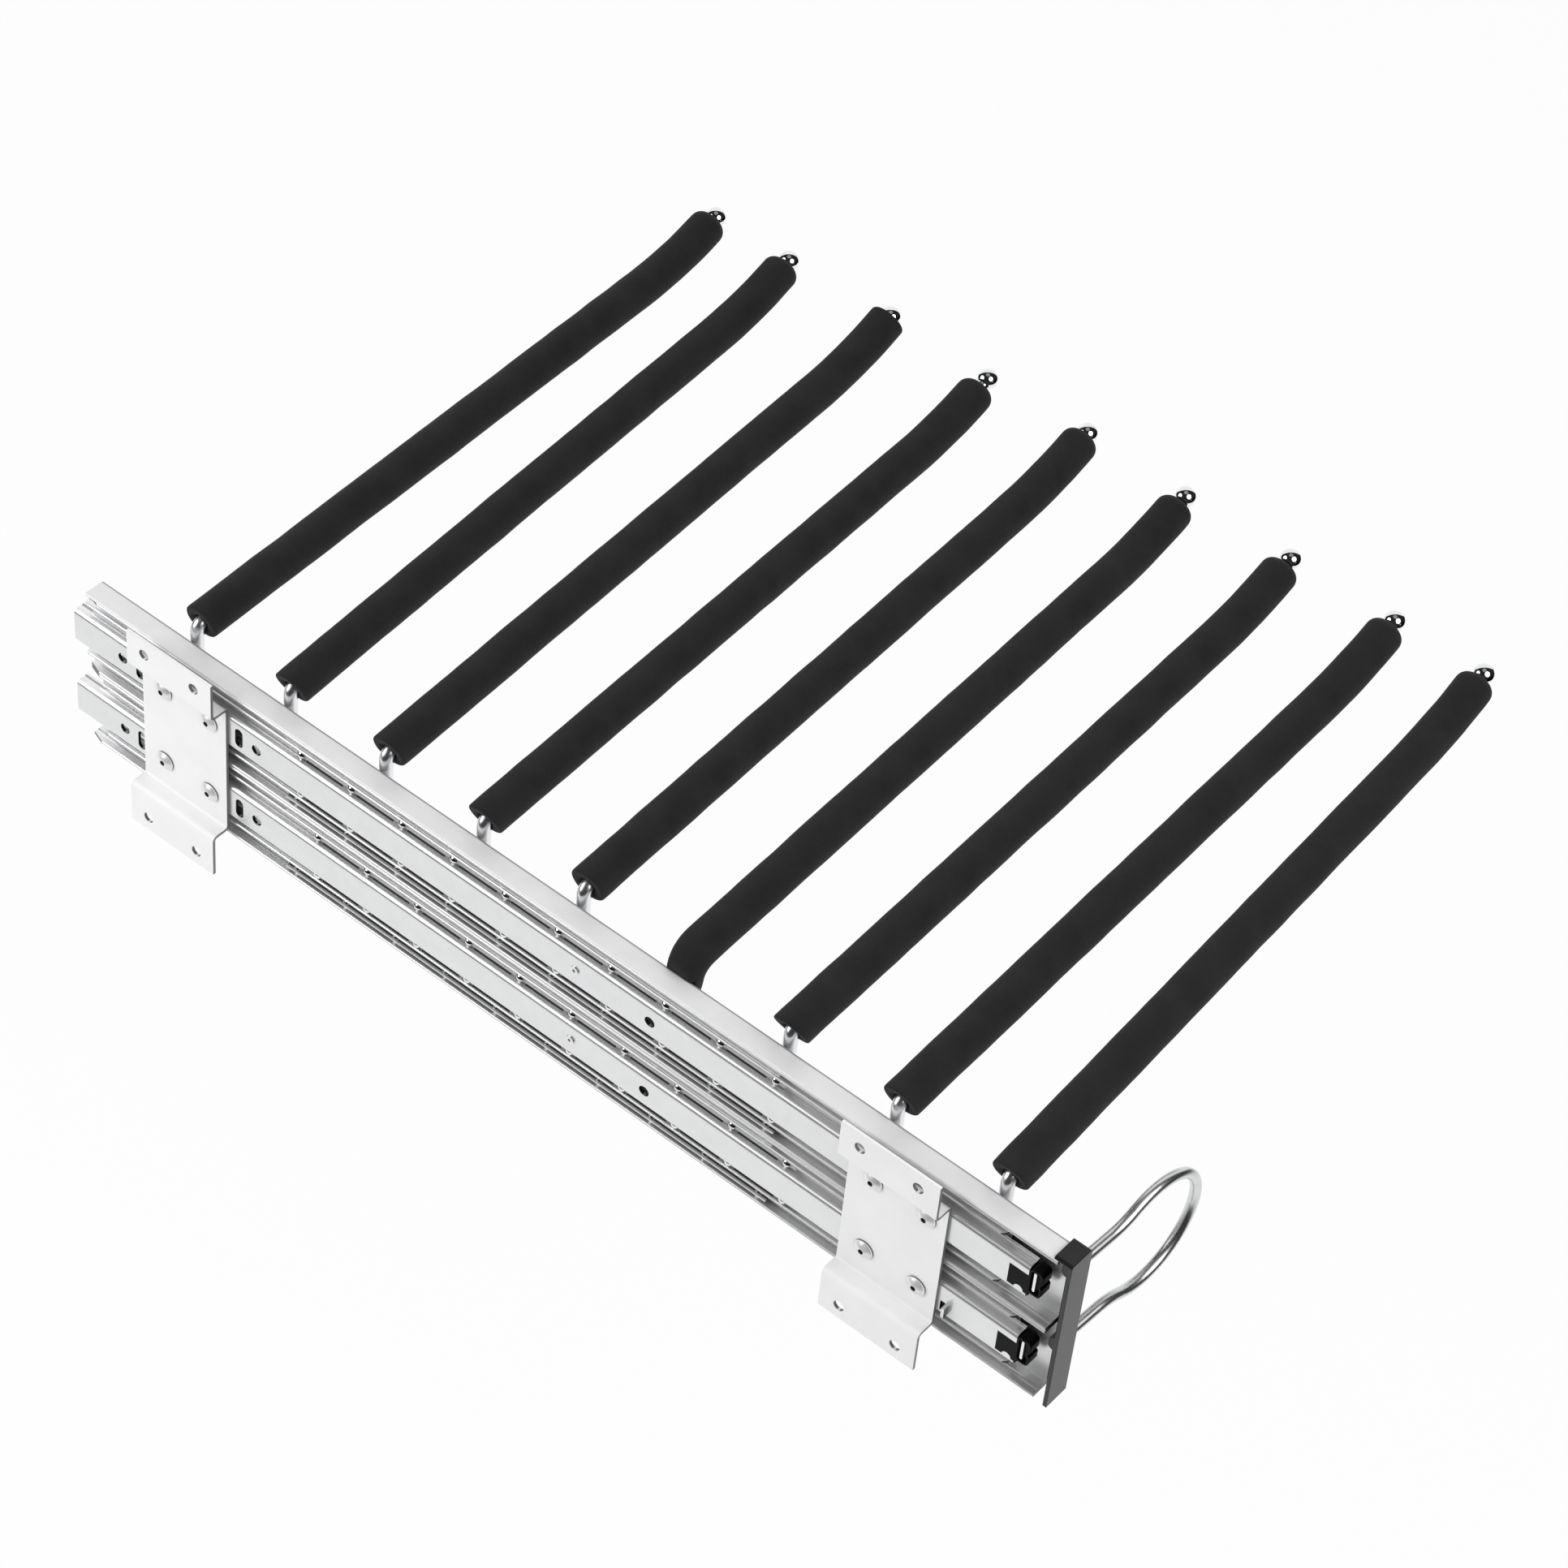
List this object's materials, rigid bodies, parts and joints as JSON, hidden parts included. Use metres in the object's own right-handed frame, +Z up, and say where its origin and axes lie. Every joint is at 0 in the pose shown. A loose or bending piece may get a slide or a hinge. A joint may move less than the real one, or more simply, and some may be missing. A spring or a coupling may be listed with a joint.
{
  "type": "pull out trouser rack",
  "caption": "Side-mounted pull-out trouser rack: foam-padded arms on a carriage that runs on two stacked ball-bearing slides, with a wire pull handle.",
  "frame": {"origin": "centre of the rear bracket's four screw holes, on the face that meets the cabinet side", "axes": "+X the way the rack pulls out, +Y away from the cabinet side, +Z up"},
  "size_m": [0.4442, 0.2987, 0.1228],
  "materials": {
    "bracket_paint": "satin",
    "rail_steel": "polished",
    "profile_steel": "satin",
    "rivet_steel": "polished",
    "cage_steel": "satin",
    "ball_steel": "polished",
    "latch_plastic": "satin",
    "spring_steel": "polished",
    "cap_plastic": "matte",
    "chrome_wire": "polished",
    "weld_steel": "rough",
    "foam": "matte"
  },
  "bodies": {
    "cabinet_side": {"rear_mounting_bracket": "bracket_paint", "front_mounting_bracket": "bracket_paint", "rear_bracket_rivets": "rivet_steel", "front_bracket_rivets": "rivet_steel", "upper_fixed_rail": "rail_steel", "lower_fixed_rail": "rail_steel", "stop_rivets": "rivet_steel", "upper_latch_lever": "latch_plastic", "lower_latch_lever": "latch_plastic", "upper_latch_spring": "spring_steel", "lower_latch_spring": "spring_steel"},
    "upper_inner_cage": {"upper_inner_cage": "cage_steel", "upper_inner_balls": "ball_steel"},
    "lower_inner_cage": {"lower_inner_cage": "cage_steel", "lower_inner_balls": "ball_steel"},
    "upper_middle": {"upper_middle_rail": "rail_steel"},
    "lower_middle": {"lower_middle_rail": "rail_steel"},
    "upper_outer_cage": {"upper_outer_cage_top": "cage_steel", "upper_outer_cage_bottom": "cage_steel", "upper_outer_balls": "ball_steel"},
    "lower_outer_cage": {"lower_outer_cage_top": "cage_steel", "lower_outer_cage_bottom": "cage_steel", "lower_outer_balls": "ball_steel"},
    "carriage": {"upper_outer_rail": "rail_steel", "lower_outer_rail": "rail_steel", "carriage_profile": "profile_steel", "back_rivets": "rivet_steel", "end_cap": "cap_plastic", "pull_handle": "chrome_wire", "weld_beads": "weld_steel", "arm_rod_1": "chrome_wire", "arm_rod_2": "chrome_wire", "arm_rod_3": "chrome_wire", "arm_rod_4": "chrome_wire", "arm_rod_5": "chrome_wire", "arm_rod_6": "chrome_wire", "arm_rod_7": "chrome_wire", "arm_rod_8": "chrome_wire", "arm_rod_9": "chrome_wire", "foam_sleeve_1": "foam", "foam_sleeve_2": "foam", "foam_sleeve_3": "foam", "foam_sleeve_4": "foam", "foam_sleeve_5": "foam", "foam_sleeve_6": "foam", "foam_sleeve_7": "foam", "foam_sleeve_8": "foam", "foam_sleeve_9": "foam"}
  },
  "joints": [
    {"name": "pull_out", "type": "slide", "parent": "cabinet_side", "child": "carriage", "axis": [1, 0, 0], "range_m": [0, 0.38]},
    {"name": "upper_inner_cage_slide", "type": "slide", "parent": "cabinet_side", "child": "upper_inner_cage", "axis": [1, 0, 0], "range_m": [0, 0.095]},
    {"name": "upper_middle_slide", "type": "slide", "parent": "cabinet_side", "child": "upper_middle", "axis": [1, 0, 0], "range_m": [0, 0.19]},
    {"name": "upper_outer_cage_slide", "type": "slide", "parent": "cabinet_side", "child": "upper_outer_cage", "axis": [1, 0, 0], "range_m": [0, 0.285]},
    {"name": "lower_inner_cage_slide", "type": "slide", "parent": "cabinet_side", "child": "lower_inner_cage", "axis": [1, 0, 0], "range_m": [0, 0.095]},
    {"name": "lower_middle_slide", "type": "slide", "parent": "cabinet_side", "child": "lower_middle", "axis": [1, 0, 0], "range_m": [0, 0.19]},
    {"name": "lower_outer_cage_slide", "type": "slide", "parent": "cabinet_side", "child": "lower_outer_cage", "axis": [1, 0, 0], "range_m": [0, 0.285]}
  ],
  "couplings": [
    {"joint": "upper_inner_cage_slide", "follows": "pull_out", "ratio": 0.25},
    {"joint": "upper_middle_slide", "follows": "pull_out", "ratio": 0.5},
    {"joint": "upper_outer_cage_slide", "follows": "pull_out", "ratio": 0.75},
    {"joint": "lower_inner_cage_slide", "follows": "pull_out", "ratio": 0.25},
    {"joint": "lower_middle_slide", "follows": "pull_out", "ratio": 0.5},
    {"joint": "lower_outer_cage_slide", "follows": "pull_out", "ratio": 0.75}
  ]
}
